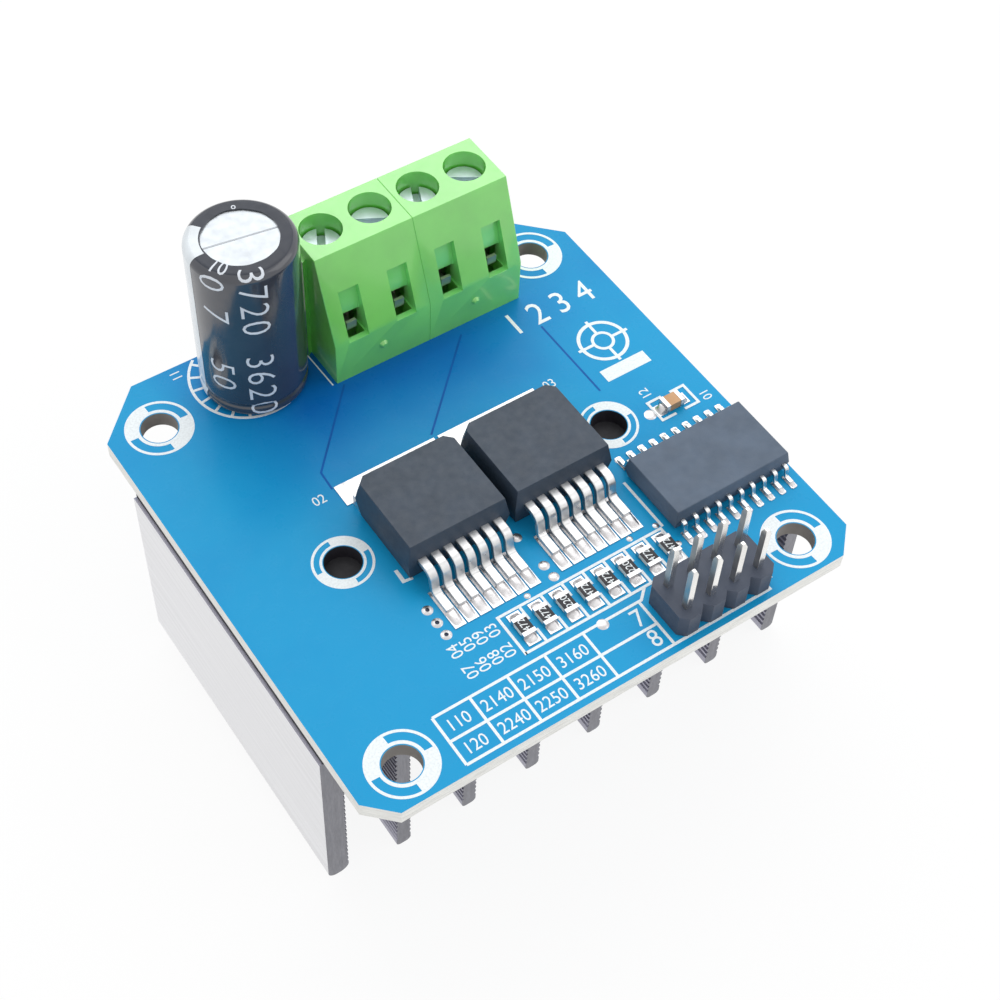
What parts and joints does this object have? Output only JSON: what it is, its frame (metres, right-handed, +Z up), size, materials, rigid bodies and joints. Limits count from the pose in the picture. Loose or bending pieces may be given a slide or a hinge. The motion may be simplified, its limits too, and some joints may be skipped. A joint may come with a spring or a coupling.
{
  "type": "dc motor driver module",
  "caption": "Motor driver circuit board with power driver chips, screw terminals, pin header and electrolytic capacitor on a finned aluminium heatsink.",
  "frame": {"origin": "centre of the board's four corner holes, on its component face", "axes": "+X along the pin header's edge, +Y towards the screw terminals' edge, +Z up out of the component face; the heatsink hangs below"},
  "size_m": [0.0515, 0.0499, 0.0422],
  "materials": {
    "board_laminate": "glossy solder mask over glass laminate",
    "thermal_pad": "soft, matte",
    "heatsink_aluminium": "extruded, satin",
    "chip_moulding": "fine matte epoxy",
    "tinned_metal": "bright tin plate",
    "solder": "bright solder",
    "resistor_ceramic": "black glaze with tinned ends",
    "ceramic_tan": "tan ceramic with tinned ends",
    "capacitor_sleeve": "glossy shrink sleeve",
    "capacitor_can": "drawn, bright",
    "rubber_seal": "matte",
    "terminal_plastic": "satin moulding",
    "contact_metal": "tin-plated brass",
    "zinc_screw": "zinc plate",
    "spring_steel": "nickel plate",
    "header_plastic": "matte moulding",
    "header_pin_metal": "tin-plated brass"
  },
  "bodies": {
    "root": {"capacitor_can": "capacitor_can", "capacitor_leads": "tinned_metal", "capacitor_seal": "rubber_seal", "capacitor_sleeve": "capacitor_sleeve", "ceramic_capacitor": "ceramic_tan", "circuit_board": "board_laminate", "driver_left_body": "chip_moulding", "driver_left_leads": "tinned_metal", "driver_left_tab": "tinned_metal", "driver_right_body": "chip_moulding", "driver_right_leads": "tinned_metal", "driver_right_tab": "tinned_metal", "header_housing": "header_plastic", "header_pins": "header_pin_metal", "heatsink": "heatsink_aluminium", "logic_chip_body": "chip_moulding", "logic_chip_leads": "tinned_metal", "resistor_1": "resistor_ceramic", "resistor_2": "resistor_ceramic", "resistor_3": "resistor_ceramic", "resistor_4": "resistor_ceramic", "resistor_5": "resistor_ceramic", "resistor_6": "resistor_ceramic", "resistor_7": "resistor_ceramic", "resistor_8": "resistor_ceramic", "solder_joints": "solder", "solder_lands": "solder", "terminal_contacts": "contact_metal", "terminal_leaves": "spring_steel", "terminal_left_housing": "terminal_plastic", "terminal_right_housing": "terminal_plastic", "terminal_screws": "zinc_screw", "thermal_pad": "thermal_pad"}
  },
  "joints": []
}
